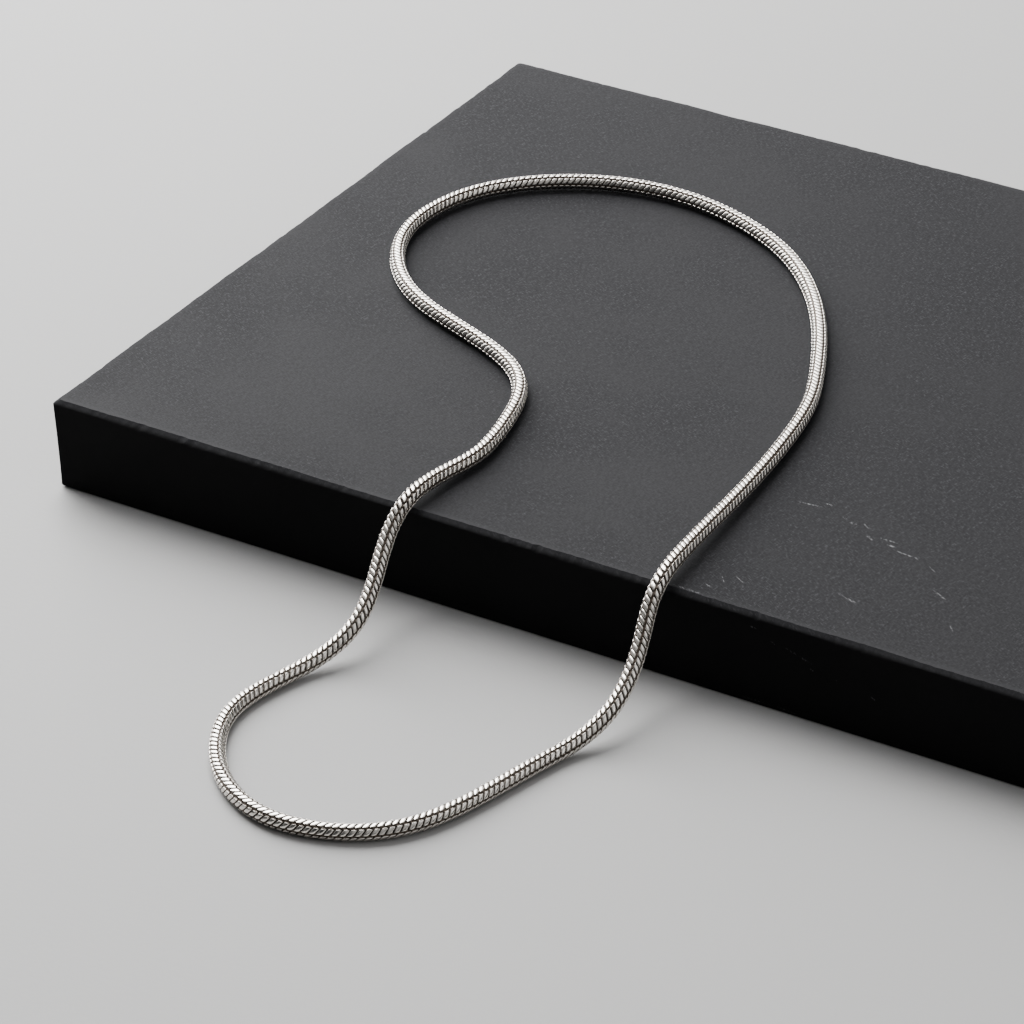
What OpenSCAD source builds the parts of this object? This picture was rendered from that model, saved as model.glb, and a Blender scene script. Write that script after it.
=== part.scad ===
/* [Chain] */
// Outside diameter of the round snake chain
chain_d = 3; // [2:0.1:4]
// Clearance between the chain and the top of the block
lay_gap = 0.1; // [0.05:0.05:0.3]

/* [Display block] */
// Length of the block along its front edge
block_l = 250; // [180:1:320]
// Depth of the block from its front edge to its back edge
block_w = 166; // [140:1:240]
// Thickness of the block
block_h = 18; // [12:0.5:26]
// Width of the bevel along each edge of the block
edge_bevel = 0.8; // [0.4:0.1:1.6]

/* [Hidden] */

// Route of the chain, once round, as seen from above. Each point is the distance from the
// block's left side, the distance behind its front edge, and the share of the way up from
// the floor to the top of the block. The chain runs smoothly along the points.
chain_route = [
  // over the back and down the right side
  [41, 123.5, 1], [58, 127, 1], [73, 124, 1], [88.5, 116.5, 1], [100, 105, 1],
  [109, 91.5, 1], [117, 74, 1], [121, 63, 1], [123.5, 42.5, 1], [124.5, 25, 1.02],
  // in a low arch over the front edge on the right and down to the floor
  [125.5, 5.5, 1.07], [126, -1, 1.01], [126, -4, 0.88], [126.5, -7, 0.7], [127.5, -12, 0.4],
  [128, -20.5, 0.18], [125, -27.5, 0],
  // across the floor in front of the block
  [122.5, -35, 0], [120, -45.5, 0], [116, -59.5, 0], [108, -68.5, 0], [93, -73, 0],
  [80.5, -67, 0], [73, -57.5, 0], [69.5, -48.5, 0], [70.5, -39, 0],
  // back up over the front edge on the left
  [74.5, -27.5, 0], [78.5, -19, 0.26], [75, -8, 0.64], [75, -3.5, 0.89], [75.5, 1, 1.06],
  [76, 12, 1],
  // round the two small bends and back to the start
  [78.5, 19.5, 1], [76.5, 32.5, 1], [71.5, 50, 1], [50, 58.5, 1], [36.5, 64, 1],
  [26, 75, 1], [20, 89.5, 1], [24, 110, 1]
];

// The chain's envelope is a closed tube with this many rings and sides
tube_rings = 80;
tube_sides = 8;

// Height that the chain climbs from the floor to the top of the block
climb = block_h + lay_gap;

// A route point in the frame of the block, at the height of the chain's centre line
function placed(p) = [p.x - block_l / 2, p.y - block_w / 2, chain_d / 2 + p.z * climb];

// A route point by its number, counted round the closed loop
function route_point(i) =
  let (count = len(chain_route))
  placed(chain_route[((i % count) + count) % count]);

// Point of the smooth closed curve at place t, counted in route points
function curve(t) =
  let (i = floor(t), u = t - i, v = 1 - u)
  (
    v * v * v * route_point(i - 1)
    + (3 * u * u * u - 6 * u * u + 4) * route_point(i)
    + (3 * v * v * v - 6 * v * v + 4) * route_point(i + 1)
    + u * u * u * route_point(i + 2)
  ) / 6;

// Unit vector along v
function unit(v) = v / norm(v);

// One ring of the tube: its points lie square to the curve, with one straight below it
function ring(t) =
  let (
    step = 0.05,
    along = unit(curve(t + step) - curve(t - step)),
    side = unit(cross(along, [0, 0, 1])),
    up = cross(side, along)
  )
  [
    for (k = [0 : tube_sides - 1])
      let (turn = 360 * k / tube_sides - 90)
      curve(t) + chain_d / 2 * (cos(turn) * side + sin(turn) * up)
  ];

// Number of a point of the tube, counted round in both directions
function tube_point(i, k) = (i % tube_rings) * tube_sides + k % tube_sides;

// The snake chain: links so close that the whole chain is one round, bendable body
module chain() {
  spacing = len(chain_route) / tube_rings;
  points = [for (i = [0 : tube_rings - 1]) each ring(i * spacing)];
  faces = [
    for (i = [0 : tube_rings - 1], k = [0 : tube_sides - 1])
      each [
        [tube_point(i, k), tube_point(i, k + 1), tube_point(i + 1, k + 1)],
        [tube_point(i, k), tube_point(i + 1, k + 1), tube_point(i + 1, k)]
      ]
  ];
  color("silver")
    polyhedron(points = points, faces = faces, convexity = 10);
}

// Rectangle with bevelled corners
module bevelled_rectangle(length, width) {
  a = length / 2;
  b = width / 2;
  e = edge_bevel;
  polygon([
    [a - e, -b], [a, e - b], [a, b - e], [a - e, b],
    [e - a, b], [-a, b - e], [-a, e - b], [e - a, -b]
  ]);
}

// The display block: one plain slab with a small bevel along each edge
module block() {
  color("dimgray")
    translate([0, 0, block_h / 2])
      intersection() {
        linear_extrude(height = block_h, center = true)
          bevelled_rectangle(block_l, block_w);
        rotate([90, 0, 0])
          linear_extrude(height = block_w, center = true)
            bevelled_rectangle(block_l, block_h);
        rotate([90, 0, 90])
          linear_extrude(height = block_l, center = true)
            bevelled_rectangle(block_w, block_h);
      }
}

chain();
block();
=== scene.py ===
import math

import bpy
import numpy as np
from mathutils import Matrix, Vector, noise


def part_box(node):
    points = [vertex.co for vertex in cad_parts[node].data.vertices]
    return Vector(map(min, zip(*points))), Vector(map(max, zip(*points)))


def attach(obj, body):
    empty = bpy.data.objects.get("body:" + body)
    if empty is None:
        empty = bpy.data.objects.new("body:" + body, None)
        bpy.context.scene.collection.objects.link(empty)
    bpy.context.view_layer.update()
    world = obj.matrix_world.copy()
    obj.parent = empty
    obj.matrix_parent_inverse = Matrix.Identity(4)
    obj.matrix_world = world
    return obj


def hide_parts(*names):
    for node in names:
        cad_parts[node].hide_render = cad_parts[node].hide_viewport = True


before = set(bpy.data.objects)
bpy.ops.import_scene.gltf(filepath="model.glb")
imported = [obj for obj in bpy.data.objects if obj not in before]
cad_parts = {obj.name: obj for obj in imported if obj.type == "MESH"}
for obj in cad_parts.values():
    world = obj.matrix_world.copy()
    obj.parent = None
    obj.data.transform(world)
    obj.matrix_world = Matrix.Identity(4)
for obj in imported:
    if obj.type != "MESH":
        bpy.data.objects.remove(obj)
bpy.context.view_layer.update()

# Camera: a long lens at the photograph's viewing angle, a third of the way from level to
# straight down, and turned so that the block's front edge runs down to the right.
camera_place = (0.3149, -0.6655, 0.4276)
camera_turn = 30.52
camera_tilt = 30.85
lens_length = 162.2
sensor_width = 36.0
nearest_seen = 0.01

camera = bpy.data.objects.new("camera", bpy.data.cameras.new("camera"))
camera.data.lens = lens_length
camera.data.sensor_width = sensor_width
camera.data.clip_start = nearest_seen
camera.location = camera_place
camera.rotation_euler = (math.radians(90 - camera_tilt), 0, math.radians(camera_turn))
bpy.context.scene.collection.objects.link(camera)
bpy.context.scene.camera = camera

# Studio light: one tall soft panel behind the block on its left with a weaker one beside it,
# and faint ones on the right, overhead and in front, in a dim room.
room_glow = (0.045, 0.047, 0.050, 1)
panel_aim = (0.0, -0.03, 0.0)
light_panels = [
    # name, place in metres, width and height in metres, power in watts
    ("key_panel", (-0.65, 0.33, 0.54), 0.72, 1.3, 41.0),
    ("back_panel", (-0.28, 0.66, 0.54), 0.52, 1.1, 2.3),
    ("side_panel", (0.86, 0.10, 0.62), 0.75, 0.6, 1.9),
    ("top_panel", (0.0, -0.10, 1.20), 1.1, 1.1, 3.2),
    ("left_panel", (-0.74, -0.55, 0.63), 1.0, 0.8, 0.4),
    ("front_panel", (0.55, -0.60, 0.62), 0.9, 0.8, 0.8),
]

for name, place, width, height, power in light_panels:
    panel = bpy.data.lights.new(name, "AREA")
    panel.shape = "RECTANGLE"
    panel.size = width
    panel.size_y = height
    panel.energy = power
    lamp = bpy.data.objects.new(name, panel)
    lamp.location = place
    lamp.visible_camera = False
    to_aim = Vector(panel_aim) - Vector(place)
    lamp.rotation_euler = to_aim.to_track_quat("-Z", "Y").to_euler()
    bpy.context.scene.collection.objects.link(lamp)

bpy.context.scene.world = bpy.data.worlds.new("studio")
bpy.context.scene.world.use_nodes = True
room = bpy.context.scene.world.node_tree.nodes["Background"]
room.inputs["Color"].default_value = room_glow

# Table top: a plain pale painted board that the block and the front of the chain lie on. It
# is part of the studio and not of the object.
table_size = 6.0
table_tones = ((0.35, 0.347, 0.343, 1), (0.37, 0.366, 0.362, 1))
table_roughness = 0.7
table_clouds = 3.0          # waves to a metre
table_grain = 900.0         # waves to a metre
table_grain_height = 0.00004


def add_piece(name, corners, faces, smooth=True):
    """A new mesh object from its corners and faces."""
    mesh = bpy.data.meshes.new(name)
    mesh.from_pydata(corners, [], faces)
    mesh.polygons.foreach_set("use_smooth", [smooth] * len(mesh.polygons))
    mesh.update()
    piece = bpy.data.objects.new(name, mesh)
    bpy.context.scene.collection.objects.link(piece)
    return piece


class Socket:
    """An output of a material's nodes. Sums and products of Sockets add Math nodes."""

    def __init__(self, tree, link):
        self.tree = tree
        self.link = link

    def node(self, kind, settings, inputs, output=0):
        """Adds a node, sets its settings, then its inputs, and gives one of its outputs."""
        made = self.tree.nodes.new(kind)
        for key, value in settings.items():
            setattr(made, key, value)
        for key, value in inputs.items():
            if isinstance(value, Socket):
                self.tree.links.new(value.link, made.inputs[key])
            else:
                made.inputs[key].default_value = value
        return Socket(self.tree, made.outputs[output]) if made.outputs else made

    def math(self, operation, *values):
        return self.node("ShaderNodeMath", {"operation": operation}, dict(enumerate(values)))

    def __add__(self, other):
        return self.math("ADD", self, other)

    def __mul__(self, other):
        return self.math("MULTIPLY", self, other)

    def __sub__(self, other):
        return self.math("SUBTRACT", self, other)

    def __rsub__(self, other):
        return self.math("SUBTRACT", other, self)

    __radd__ = __add__
    __rmul__ = __mul__

    def ramp(self, start, end, low=0.0, high=1.0):
        """Goes smoothly from low to high while this value goes from start to end."""
        inputs = {"Value": self, "From Min": start, "From Max": end}
        inputs.update({"To Min": low, "To Max": high})
        return self.node("ShaderNodeMapRange", {"interpolation_type": "SMOOTHSTEP"}, inputs)

    def mix(self, low, high):
        """The first colour where this value is 0, and the second where it is 1."""
        inputs = {0: self, 6: low, 7: high}
        return self.node("ShaderNodeMix", {"data_type": "RGBA"}, inputs, output=2)

    def stretched(self, *shares):
        """This place with each of its three parts multiplied by a number."""
        inputs = {0: self, 1: shares}
        return self.node("ShaderNodeVectorMath", {"operation": "MULTIPLY"}, inputs)

    def turned(self, degrees):
        """This place turned about the upright axis."""
        inputs = {"Vector": self, "Rotation": (0, 0, math.radians(-degrees))}
        return self.node("ShaderNodeMapping", {}, inputs)

    def noise(self, scale, detail=2.0, roughness=0.5):
        """Soft random values, mostly from 0.3 to 0.7, with this many waves to a metre."""
        inputs = {"Vector": self, "Scale": scale, "Detail": detail, "Roughness": roughness}
        return self.node("ShaderNodeTexNoise", {}, inputs)

    def bump(self, distance):
        """A surface direction from this height, where 1 is as high as the distance."""
        return self.node("ShaderNodeBump", {}, {"Height": self, "Distance": distance})

    def surface(self, inputs):
        """Ends the material in one surface with these inputs."""
        skin = self.node("ShaderNodeBsdfPrincipled", {}, inputs)
        return self.node("ShaderNodeOutputMaterial", {}, {"Surface": skin})


def new_material(name):
    """A material with no nodes but one, and that node's output, the place in metres."""
    material = bpy.data.materials.new(name)
    material.use_nodes = True
    material.node_tree.nodes.clear()
    coordinates = material.node_tree.nodes.new("ShaderNodeTexCoord")
    return material, Socket(material.node_tree, coordinates.outputs["Object"])


table_paint, spot = new_material("table_paint")
spot.surface({
    "Base Color": spot.noise(table_clouds).ramp(0.3, 0.7).mix(*table_tones),
    "Roughness": table_roughness,
    "Normal": spot.noise(table_grain, 3.0).bump(table_grain_height),
})
reach = table_size / 2
table_corners = [(-reach, -reach, 0), (reach, -reach, 0), (reach, reach, 0), (-reach, reach, 0)]
table = add_piece("table_top", table_corners, [(0, 1, 2, 3)], smooth=False)
table.data.materials.append(table_paint)

# Snake chain: a closed loop of short steel bands, three millimetres thick. Each band is
# pressed into six scales that lean the same way, with a narrow crease between two scales,
# and its collar is hooked inside the next band. The loop is laid over the block's edge.
chain_thickness = 0.003
band_thickness = 0.00292    # the bands stay just inside the chain's envelope
lay_gap = 0.0001
link_count = 430
scales_round = 6
link_length = 0.86          # of the spacing between two links
scale_lean = 0.64           # of the spacing, over the width of a scale's face
corner_cut = 0.10           # of a scale's length, at its two ends
scale_flatness = 1.10       # radius of a scale's face, of the chain's radius
scale_section = [
    # round the chain from a scale's middle to the seam: share of the way, share of the height
    (0.40, 1.00), (0.66, 1.00), (0.685, 0.985), (0.70, 0.93), (0.72, 0.22), (1.00, 0.00),
]
edge_section = [
    # along the chain from a scale's middle to its edge: share of the way, share of the height
    (0.26, 1.00), (0.62, 0.93), (0.87, 0.70), (1.00, 0.00),
]
face_width = 0.70           # of the width between two seams
seam_radius = 0.86          # of the chain's radius, as are the next three
bore_radius = 0.66
collar_radius = 0.63
collar_bore = 0.56
collar_reach = 0.92         # of the spacing
chain_pieces = ["chain_back", "chain_right", "chain_front", "chain_left"]
steel_bright = (0.80, 0.757, 0.698, 1)
steel_roughness = (0.21, 0.30)
steel_smears = 420.0        # waves to a metre
steel_scuffs = 5200.0       # waves to a metre
scuff_height = 0.000006
# Painted shade with some tarnish: the creases, the gaps between scales and the collars turn
# browner, then darker and duller, the deeper they lie, for the shade that falls in them
shade_and_tarnish_brown = (0.080, 0.058, 0.041, 1)
shade_and_tarnish_dark = (0.040, 0.034, 0.029, 1)
shade_and_tarnish_begins = (0.08, 0.24)   # share of the depth from a scale's face to the collar
shade_and_tarnish_darkens = (0.45, 0.85)
shade_and_tarnish_cover = 0.8         # of the metal, where it is full
shade_and_tarnish_roughness = 0.30    # added to the steel's

# Distance from the block's left side and from its front edge in metres, and share of the way
# up from the table to the block's top
chain_route = [
    (0.0410, 0.1235, 1), (0.0580, 0.1270, 1), (0.0730, 0.1240, 1), (0.0885, 0.1165, 1),
    (0.1000, 0.1050, 1), (0.1090, 0.0915, 1), (0.1170, 0.0740, 1), (0.1210, 0.0630, 1),
    (0.1235, 0.0425, 1), (0.1245, 0.0250, 1.02),
    (0.1255, 0.0055, 1.07), (0.1260, -0.0010, 1.01), (0.1260, -0.0040, 0.88),
    (0.1265, -0.0070, 0.70), (0.1275, -0.0120, 0.40), (0.1280, -0.0205, 0.18),
    (0.1250, -0.0275, 0),
    (0.1225, -0.0350, 0), (0.1200, -0.0455, 0), (0.1160, -0.0595, 0), (0.1080, -0.0685, 0),
    (0.0930, -0.0730, 0), (0.0805, -0.0670, 0), (0.0730, -0.0575, 0), (0.0695, -0.0485, 0),
    (0.0705, -0.0390, 0),
    (0.0745, -0.0275, 0), (0.0785, -0.0190, 0.26), (0.0750, -0.0080, 0.64),
    (0.0750, -0.0035, 0.89), (0.0755, 0.0010, 1.06), (0.0760, 0.0120, 1),
    (0.0785, 0.0195, 1), (0.0765, 0.0325, 1), (0.0715, 0.0500, 1), (0.0500, 0.0585, 1),
    (0.0365, 0.0640, 1), (0.0260, 0.0750, 1), (0.0200, 0.0895, 1), (0.0240, 0.1100, 1),
]

# Distance along the chain in metres, and how far its links have rolled there in degrees
chain_roll = [
    (0.000, 0), (0.152, 4), (0.168, 3), (0.182, -15), (0.196, -18), (0.214, -11), (0.228, 0),
    (0.250, 0), (0.262, 6), (0.273, 10), (0.280, 18), (0.287, 26), (0.293, 22), (0.299, 8),
    (0.308, 8), (0.316, 11), (0.325, 3), (0.336, 12), (0.349, 16), (0.354, 8), (0.358, -5),
    (0.366, 0),
]

steps_per_point = 60        # of the route
ahead_reach = 3             # steps to either side for the chain's direction
bend_reach = 6              # and for its bend

block_low, block_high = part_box("block")
chain_radius = chain_thickness / 2


def smooth_loop(points, steps):
    """Places on the smooth closed curve along the points, with some steps for each point."""
    u = (np.arange(steps) / steps)[None, :, None]
    v = 1 - u
    before, here, after, beyond = (np.roll(points, k, axis=0)[:, None] for k in (1, 0, -1, -2))
    curve = v**3 * before + (3 * u**3 - 6 * u**2 + 4) * here
    curve = curve + (3 * v**3 - 6 * v**2 + 4) * after + u**3 * beyond
    return curve.reshape(-1, 3) / 6


def unit(vectors):
    return vectors / np.linalg.norm(vectors, axis=-1, keepdims=True)


route = np.array([
    (block_low.x + x, block_low.y + y, chain_radius + share * (block_high.z + lay_gap))
    for x, y, share in chain_route
])
line = smooth_loop(route, steps_per_point)
step_lengths = np.linalg.norm(np.roll(line, -1, axis=0) - line, axis=1)
chain_length = step_lengths.sum()
along = np.concatenate([[0], np.cumsum(step_lengths)])
spacing = chain_length / link_count
stations = np.arange(link_count) * spacing


def at_stations(values):
    """The values on the curve's steps, read off where the links' middles are."""
    closed = np.vstack([values, values[:1]])
    return np.stack([np.interp(stations, along, closed[:, k]) for k in range(3)], axis=1)


ahead = unit(np.roll(line, -ahead_reach, axis=0) - np.roll(line, ahead_reach, axis=0))
turning = np.roll(ahead, -bend_reach, axis=0) - np.roll(ahead, bend_reach, axis=0)
turning = turning / (2 * bend_reach) / step_lengths[:, None]
middles = at_stations(line)
forward = unit(at_stations(ahead))
bend = at_stations(turning)
side = unit(np.cross(forward, [0, 0, 1]))
upward = np.cross(side, forward)
roll = np.interp(stations, *np.array(chain_roll).T)

# One link: places round the band, counted in scales from the middle of the first, and its
# section along the chain
half_round, half_heights = (np.array(part) for part in zip(*scale_section))
half_along, half_falls = (np.array(part) for part in zip(*edge_section))
round_steps = np.concatenate([-half_round[-2::-1], half_round]) / 2
round_heights = np.concatenate([half_heights[-2::-1], half_heights])
around = (np.arange(scales_round)[:, None] + 0.5 + round_steps).ravel()
turn = np.radians(around * 360 / scales_round)
off_middle = np.radians(round_steps * 360 / scales_round)
pull = scale_flatness - 1
crown = np.sqrt(scale_flatness**2 - (pull * np.sin(off_middle))**2) - pull * np.cos(off_middle)
heights = np.tile((crown - seam_radius) * round_heights, scales_round)
across = np.clip(2 * round_steps / face_width, -1, 1)
to_seam = np.clip((1 - 2 * np.abs(round_steps)) / (1 - face_width), 0, 1)
lean = np.tile(spacing * scale_lean * across / 2 * to_seam, scales_round)

along_steps = np.concatenate([-half_along[::-1], half_along])
side_falls = np.concatenate([half_falls[::-1], half_falls])
half_link = spacing * link_length / 2
corners_cut = np.tile(1 - corner_cut * across**6, scales_round)
outer_places = np.outer(corners_cut, along_steps * half_link)
outer_radii = seam_radius + np.outer(heights, side_falls)
inner_section = [
    # place along the link in metres, radius as a share of the chain's
    (half_link, collar_radius), (spacing * collar_reach, collar_radius),
    (spacing * collar_reach, collar_bore), (-half_link, bore_radius),
]
inner_shape = (len(around), len(inner_section))
inner_places, inner_radii = (np.broadcast_to(part, inner_shape) for part in zip(*inner_section))
places = np.hstack([outer_places, inner_places]) + lean[:, None]
radii = np.hstack([outer_radii, inner_radii])
depth = np.clip((1 - radii) / (1 - collar_radius), 0, 1)

rolled = turn[None, :] + np.radians(roll)[:, None]
outward = np.cos(rolled)[..., None] * side[:, None] + np.sin(rolled)[..., None] * upward[:, None]
offsets = outward[:, :, None] * (radii * band_thickness / 2)[None, ..., None]
squeeze = 1 - np.maximum(0, np.einsum("larc,lc->lar", offsets, bend))
shifts = (places[None] * squeeze)[..., None] * forward[:, None, None]
corners = middles[:, None, None] + offsets + shifts

round_count, section_count = places.shape
ring, bead = np.meshgrid(np.arange(round_count), np.arange(section_count), indexing="ij")
next_ring = (ring + 1) % round_count
next_bead = (bead + 1) % section_count
one_link = np.stack([ring * section_count + bead, ring * section_count + next_bead,
                     next_ring * section_count + next_bead, next_ring * section_count + bead],
                    axis=-1).reshape(-1, 4)
link_corners = round_count * section_count

steel, spot = new_material("polished_steel")
groove = spot.node("ShaderNodeAttribute", {"attribute_name": "groove"}, {}, output="Fac")
scuffs = spot.noise(steel_scuffs, 3.0, 0.6)
smears = spot.noise(steel_smears)
# Painted shade with some tarnish, growing with the depth below the scales' faces
shade_tarnish_share = groove.ramp(*shade_and_tarnish_begins)
groove_shade_and_tarnish = groove.ramp(*shade_and_tarnish_darkens).mix(shade_and_tarnish_brown, shade_and_tarnish_dark)
spot.surface({
    "Base Color": shade_tarnish_share.mix(steel_bright, groove_shade_and_tarnish),
    "Metallic": 1 - shade_tarnish_share * shade_and_tarnish_cover,
    "Roughness": smears.ramp(0.3, 0.7, *steel_roughness) + shade_tarnish_share * shade_and_tarnish_roughness,
    "Normal": scuffs.bump(scuff_height),
})

for name, links in zip(chain_pieces, np.array_split(np.arange(link_count), len(chain_pieces))):
    faces = (one_link[None] + (np.arange(len(links)) * link_corners)[:, None, None]).reshape(-1, 4)
    piece = add_piece(name, corners[links].reshape(-1, 3).tolist(), faces.tolist())
    shade = piece.data.attributes.new("groove", "FLOAT", "POINT")
    shade.data.foreach_set("value", np.tile(depth.ravel(), len(links)).astype(np.float32))
    piece.data.materials.append(steel)
    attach(piece, "root")
    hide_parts("chain")

# Display block: one slab of dark slate, sawn to size, with a honed top and a narrow bevel
# rubbed along each top edge by hand, so that the bevel's width wanders and small nicks break
# it. The block has no parts and is fixed to nothing.
outline_step = 0.0005
upright_rounding = 0.0006   # radius of the four upright edges
rounding_angles = np.arange(0, 91, 15)
foot_inset = 0.0004         # how far the sides lean in at the bottom, and more on the left side
left_lean = 0.0004
bottom_bevel = 0.0004
bevel_width = 0.00095
bevel_waves = [(0.28, 90), (0.18, 700)]     # share of the bevel's width, waves to a metre
bevel_facet = [(0.02, 0.97), (0.14, 0.80)]  # shares of the width in and down, at its lower edge
rim_width = 0.0016          # everything of the bevel lies nearer to the edge than this
rim_spare = 0.00005
nick_seed = 11
nick_count = 24
nick_lengths = (0.0004, 0.0013)
nick_depths = (0.00005, 0.00030)
slate_dark = (0.007, 0.007, 0.008, 1)
slate_light = (0.016, 0.016, 0.018, 1)
# Painted shade: the sides are coloured far darker than the top, for the little light that reaches
# them
shaded_side_slate = (0.0025, 0.0025, 0.0028, 1)
rim_slate = (0.024, 0.024, 0.026, 1)
pale_slate = (0.041, 0.041, 0.044, 1)
chalky_mark = (0.17, 0.17, 0.175, 1)
honed_roughness = 0.78
sawn_roughness = 0.88
stone_sheen = 0.142
stone_relief = 0.00003
cloud_waves = 34.0          # to a metre, as are the next three
grain_waves = 2600.0
fibre_waves = (1000.0, 5200.0, 1000.0)
cross_fibre_waves = (900.0, 5000.0, 900.0)
fibre_turn = -28            # degrees
cross_fibre_turn = 80
honed_depths = (0.0009, 0.0003)     # below the top, where the sawn side with its painted shade turns into honed stone
rim_fade = (-0.0024, -0.0011)       # from the edge, where the rubbed rim's tone comes in
rim_strength = 0.4

# Pale marks on the top, as in the photo: distance from the left side and from the front edge,
# direction in degrees, length and width in metres
pale_marks = [
    (0.1351, 0.0368, 6, 0.0041, 0.00040), (0.1379, 0.0383, -9, 0.0012, 0.00064),
    (0.1425, 0.0355, -29, 0.0018, 0.00032), (0.1443, 0.0348, -7, 0.0017, 0.00048),
    (0.1468, 0.0351, -31, 0.0019, 0.00040), (0.1487, 0.0321, -35, 0.0022, 0.00048),
    (0.1520, 0.0328, -2, 0.0031, 0.00032), (0.1532, 0.0314, -3, 0.0014, 0.00064),
    (0.1563, 0.0302, -7, 0.0032, 0.00048), (0.1590, 0.0298, -35, 0.0014, 0.00032),
    (0.1627, 0.0281, -35, 0.0018, 0.00024), (0.1535, 0.0127, -23, 0.0024, 0.00032),
    (0.1555, 0.0121, -19, 0.0019, 0.00056), (0.1676, 0.0211, -28, 0.0037, 0.00048),
    (0.1735, 0.0130, -47, 0.0022, 0.00024), (0.1325, 0.0042, -19, 0.0016, 0.00032),
    (0.1337, 0.0072, -53, 0.0023, 0.00016), (0.1363, 0.0085, -31, 0.0029, 0.00016),
    (0.1300, 0.0014, -3, 0.0050, 0.00040),
]
mark_reach = (0.7, 0.55)    # of a mark's length and width, from its middle
mark_depth = 0.001
mark_fade = (1.0, 0.4)      # of the reach, where a mark begins and where it is full

# Fainter marks on the front side: distance from the left side, height, then as above
front_marks = [
    (0.1432, 0.0154, -7, 0.0013, 0.00040), (0.1470, 0.0135, -27, 0.0011, 0.00032),
    (0.1521, 0.0124, -18, 0.0052, 0.00040), (0.1544, 0.0105, -24, 0.0008, 0.00040),
    (0.1595, 0.0096, -35, 0.0012, 0.00032), (0.1662, 0.0084, -30, 0.0018, 0.00032),
    (0.1447, 0.0009, 0, 0.0061, 0.00032), (0.1500, 0.0008, -4, 0.0046, 0.00032),
]
front_strength = 0.25       # of a mark on the top

# The outline seen from above, with straight sides and rounded corners: place and outward
# direction of each point
half_length, half_depth = block_high.x, block_high.y
outline = []
for quarter in range(4):
    x_sign = (1, -1, -1, 1)[quarter]
    y_sign = (1, 1, -1, -1)[quarter]
    centre = (x_sign * (half_length - upright_rounding), y_sign * (half_depth - upright_rounding))
    for angle in np.radians(rounding_angles + 90 * quarter):
        out = (math.cos(angle), math.sin(angle))
        outline.append([centre[k] + upright_rounding * out[k] for k in range(2)] + list(out))
outline = np.array(outline)
after = np.roll(outline, -1, axis=0)
gaps = np.linalg.norm(after[:, :2] - outline[:, :2], axis=1)
parts = np.maximum(1, np.round(gaps / outline_step)).astype(int)
outline = np.vstack([
    start + (end - start) * (np.arange(count) / count)[:, None]
    for start, end, count in zip(outline, after, parts)
])
edge, outward = outline[:, :2], outline[:, 2:]
outline_length = gaps.sum()
way_round = np.concatenate([[0], np.cumsum(np.linalg.norm(np.diff(edge, axis=0), axis=1))])

# The bevel's width at each point of the outline, with its nicks, and the rings up the side
chance = np.random.default_rng(nick_seed)
wander = np.array([
    sum(share * noise.noise(Vector((x, y, 0)) * waves) for share, waves in bevel_waves)
    for x, y in edge
])
bevel = bevel_width * (1 + wander)
for _ in range(nick_count):
    away = np.abs(way_round - chance.uniform(0, outline_length))
    away = np.minimum(away, outline_length - away) / chance.uniform(*nick_lengths)
    bevel = bevel + chance.uniform(*nick_depths) * np.exp(-away**2)
bevel = np.minimum(bevel, rim_width - rim_spare)
foot = foot_inset + left_lean * np.maximum(0, -outward[:, 0])
top = block_high.z
side_rings = [
    # distance in from the outline, height
    (foot + rim_width, 0), (foot + bottom_bevel, 0), (foot, bottom_bevel),
]
side_rings += [(bevel * inward, top - bevel * down) for inward, down in bevel_facet]
side_rings += [(bevel, top), (rim_width, top)]
half_sizes = np.array([half_length, half_depth])
slab_corners = np.concatenate([
    np.column_stack([edge * (1 - np.reshape(inset, (-1, 1)) / half_sizes), height + 0 * bevel])
    for inset, height in side_rings
])
count = len(edge)
around_slab = np.arange(count)
last_level = len(side_rings) - 1
slab_faces = [around_slab[::-1].tolist(), (around_slab + last_level * count).tolist()]
for level in range(last_level):
    here = around_slab + level * count
    next_over = (around_slab + 1) % count + level * count
    slab_faces += np.stack([here, next_over, next_over + count, here + count], axis=1).tolist()

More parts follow.
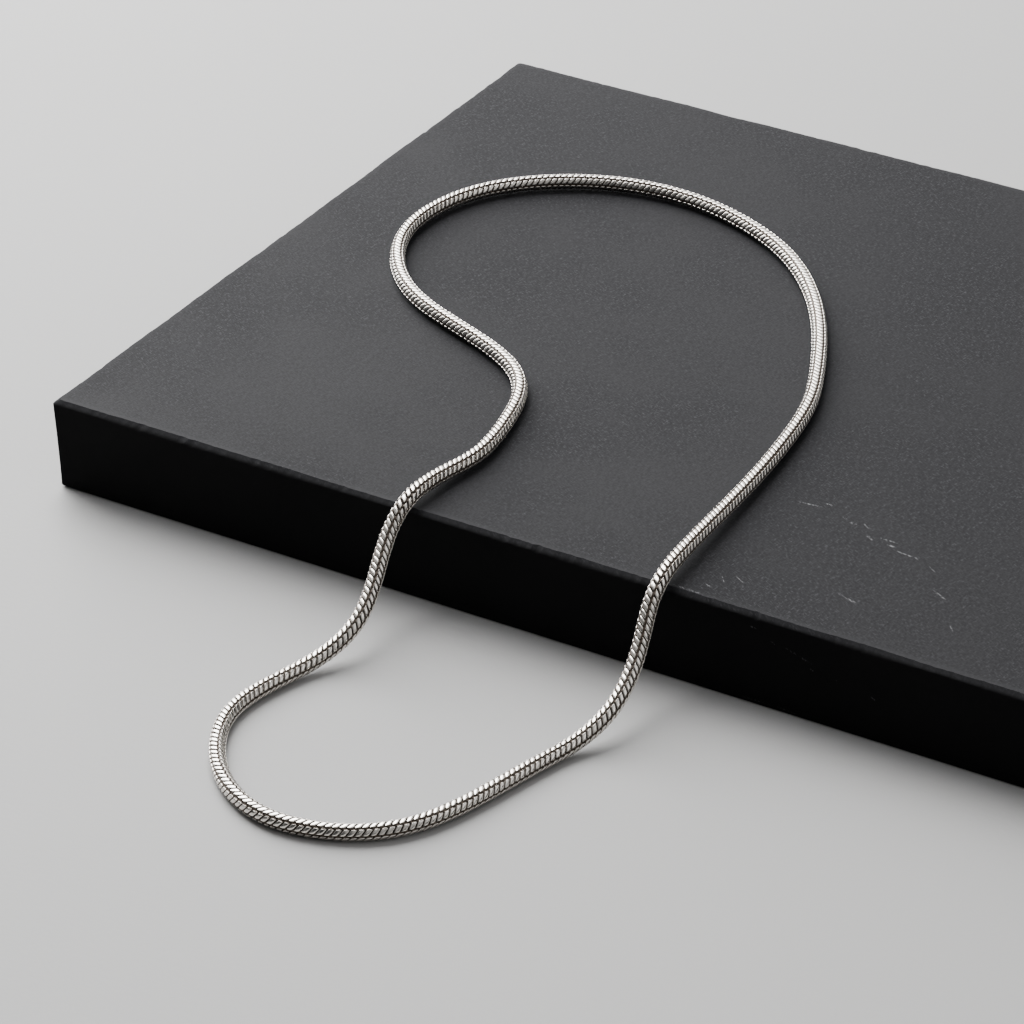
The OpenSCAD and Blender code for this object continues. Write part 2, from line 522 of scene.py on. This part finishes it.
slate, spot = new_material("honed_slate")
clouds = spot.noise(cloud_waves, 4.0, 0.6)
grain = spot.noise(grain_waves, 3.0, 0.7)
fibres = spot.turned(fibre_turn).stretched(*fibre_waves).noise(1.0)
cross_fibres = spot.turned(cross_fibre_turn).stretched(*cross_fibre_waves).noise(1.0)
place_x, place_y, height = (
    spot.node("ShaderNodeSeparateXYZ", {}, {0: spot}, output=k) for k in range(3)
)
from_side = place_x.math("ABSOLUTE", place_x) - half_length
from_front = place_y.math("ABSOLUTE", place_y) - half_depth
near_edge = from_side.math("MAXIMUM", from_side, from_front).ramp(*rim_fade)
honed = height.ramp(top - honed_depths[0], top - honed_depths[1])


def drawn_mark(place, rotation, half_axes):
    """1 inside a small ellipsoid at this place, fading to 0 at its skin."""
    inputs = {"Vector": spot, "Location": place, "Rotation": rotation, "Scale": half_axes}
    inside = spot.node("ShaderNodeMapping", {"vector_type": "TEXTURE"}, inputs)
    away = inside.node("ShaderNodeVectorMath", {"operation": "LENGTH"}, {0: inside}, output=1)
    return away.ramp(*mark_fade)


marks = 0.0
for x, y, direction, length, width in pale_marks:
    place = (block_low.x + x, block_low.y + y, top)
    half_axes = (length * mark_reach[0], width * mark_reach[1], mark_depth)
    mark = drawn_mark(place, (0, 0, math.radians(direction)), half_axes)
    marks = mark.math("MAXIMUM", marks, mark)
for x, up, direction, length, width in front_marks:
    place = (block_low.x + x, block_low.y, up)
    half_axes = (length * mark_reach[0], mark_depth, width * mark_reach[1])
    mark = drawn_mark(place, (0, math.radians(-direction), 0), half_axes)
    marks = mark.math("MAXIMUM", marks, mark * front_strength)

# The stone's grain breaks the marks up. Short pale hairs lie over a fine dark speckle.
marks = marks * fibres.ramp(0.49, 0.55) * grain.ramp(0.36, 0.52)
hairs = fibres.ramp(0.60, 0.70) + cross_fibres.ramp(0.63, 0.73)
speckle = (grain * 0.36 + fibres * 0.32 + cross_fibres * 0.32).ramp(0.40, 0.60)
stone = speckle.mix(slate_dark, slate_light)
stone = (clouds.ramp(0.35, 0.65) * hairs).mix(stone, pale_slate)
stone = (near_edge * rim_strength).mix(stone, rim_slate)
# Painted shade on the sides below the honed top
stone = honed.mix(shaded_side_slate, stone)
spot.surface({
    "Base Color": marks.mix(stone, chalky_mark),
    "Roughness": honed.ramp(0.0, 1.0, sawn_roughness, honed_roughness)
                 + clouds.ramp(0.3, 0.7, 0.0, 0.06),
    "Specular IOR Level": stone_sheen,
    "Normal": (grain * 0.5 + fibres * 0.5).bump(stone_relief),
})

block = add_piece("slate_block", slab_corners.tolist(), slab_faces, smooth=False)
block.data.materials.append(slate)
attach(block, "root")
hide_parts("block")
